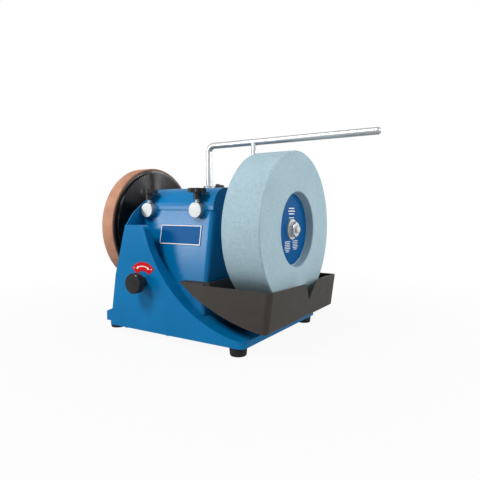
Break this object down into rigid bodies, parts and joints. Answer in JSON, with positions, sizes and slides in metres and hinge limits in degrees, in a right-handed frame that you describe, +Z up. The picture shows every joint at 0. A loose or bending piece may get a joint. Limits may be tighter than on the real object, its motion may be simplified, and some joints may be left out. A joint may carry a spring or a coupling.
{
  "type": "wet grinding sharpener",
  "caption": "Bench wet grinder: water-cooled stone in a trough, leather honing wheel, friction drive in a blue housing, and a height-set bar for sharpening jigs.",
  "frame": {"origin": "on the floor under the middle of the whole machine's box", "axes": "+X along the spindle towards the stone, +Y from the front panel to the back, +Z up"},
  "size_m": [0.46, 0.283, 0.3426],
  "materials": {
    "blue_housing": "blue powder coat, satin",
    "zinc_sheet": "zinc-plated sheet",
    "bright_steel": "turned and plated",
    "black_rubber": "matt moulded rubber",
    "blue_plate": "printed plate with a pale border",
    "red_film": "printed film",
    "satin_nickel": "satin nickel plate",
    "chromed_bar": "ground and chromed",
    "bronze": "sintered bronze",
    "grey_steel": "blackened steel",
    "drive_steel": "turned and blackened",
    "grinding_stone": "fine aluminium oxide",
    "blue_film": "printed film",
    "black_plastic": "moulded, satin",
    "honing_leather": "smooth honing leather",
    "grey_alloy": "die cast",
    "copper_iron": "lacquered windings and laminations",
    "circuit_board": "solder resist",
    "trough_plastic": "moulded, fine grain"
  },
  "bodies": {
    "machine": {"casing": "blue_housing", "bottom_plate": "zinc_sheet", "bottom_screws": "bright_steel", "feet": "black_rubber", "front_plate": "blue_plate", "dial_label": "red_film", "front_sleeves": "satin_nickel", "sleeve_plugs": "satin_nickel", "rear_sleeves": "satin_nickel", "spindle_bushes": "bronze", "motor_can": "zinc_sheet", "motor_end_caps": "grey_alloy", "motor_stator": "copper_iron", "motor_bearings": "bright_steel", "motor_cradle": "zinc_sheet", "motor_screws": "bright_steel", "capacitor": "grey_alloy", "capacitor_saddle": "black_plastic", "control_board": "circuit_board", "board_parts": "black_plastic", "potentiometer": "grey_alloy", "cable_gland": "black_plastic"},
    "spindle": {"spindle_shaft": "bright_steel", "stone_flange": "grey_steel", "spindle_spacer": "grey_steel", "stone": "grinding_stone", "stone_label": "blue_film", "spindle_washers": "bright_steel", "spindle_nuts": "bright_steel", "honing_wheel": "black_plastic", "leather_band": "honing_leather", "drive_ring": "drive_steel"},
    "rotor": {"rotor_core": "grey_steel", "rotor_shaft": "bright_steel", "cooling_fan": "black_plastic", "drive_roller": "black_rubber"},
    "support": {"support_bar": "chromed_bar"},
    "trough": {"water_trough": "trough_plastic"},
    "speed_control": {"speed_knob": "black_plastic", "control_shaft": "bright_steel"},
    "front_left_clamp": {"front_left_knob": "black_plastic", "front_left_screw": "bright_steel"},
    "front_right_clamp": {"front_right_knob": "black_plastic", "front_right_screw": "bright_steel"},
    "rear_left_clamp": {"rear_left_knob": "black_plastic", "rear_left_screw": "bright_steel"},
    "rear_right_clamp": {"rear_right_knob": "black_plastic", "rear_right_screw": "bright_steel"}
  },
  "joints": [
    {"name": "spindle_spin", "type": "hinge", "parent": "machine", "child": "spindle", "pos_m": [-0.06095, 0.0125, 0.1806], "axis": [1, 0, 0], "continuous": true},
    {"name": "rotor_spin", "type": "hinge", "parent": "machine", "child": "rotor", "pos_m": [-0.06095, 0.05945, 0.07991], "axis": [1, 0, 0], "continuous": true},
    {"name": "support_height", "type": "slide", "parent": "machine", "child": "support", "axis": [0, 0, 1], "range_m": [-0.035, 0.03]},
    {"name": "trough_draw", "type": "slide", "parent": "machine", "child": "trough", "axis": [1, 0, 0], "range_m": [0, 0.02]},
    {"name": "speed_turn", "type": "hinge", "parent": "machine", "child": "speed_control", "pos_m": [-0.09795, -0.1275, 0.0946], "axis": [0, 1, 0], "range_deg": [-140, 140]},
    {"name": "front_left_clamp_turn", "type": "hinge", "parent": "machine", "child": "front_left_clamp", "pos_m": [-0.12125, -0.07554, 0.2406], "axis": [0, 0, 1], "range_deg": [0, 180]},
    {"name": "front_right_clamp_turn", "type": "hinge", "parent": "machine", "child": "front_right_clamp", "pos_m": [-0.01725, -0.07554, 0.2406], "axis": [0, 0, 1], "range_deg": [0, 180]},
    {"name": "rear_left_clamp_turn", "type": "hinge", "parent": "machine", "child": "rear_left_clamp", "pos_m": [-0.10595, 0.1075, 0.2496], "axis": [0, 1, 0], "range_deg": [0, 180]},
    {"name": "rear_right_clamp_turn", "type": "hinge", "parent": "machine", "child": "rear_right_clamp", "pos_m": [-0.00195, 0.1075, 0.2496], "axis": [0, 1, 0], "range_deg": [0, 180]}
  ],
  "couplings": [
    {"joint": "rotor_spin", "follows": "spindle_spin", "ratio": -12.19}
  ]
}
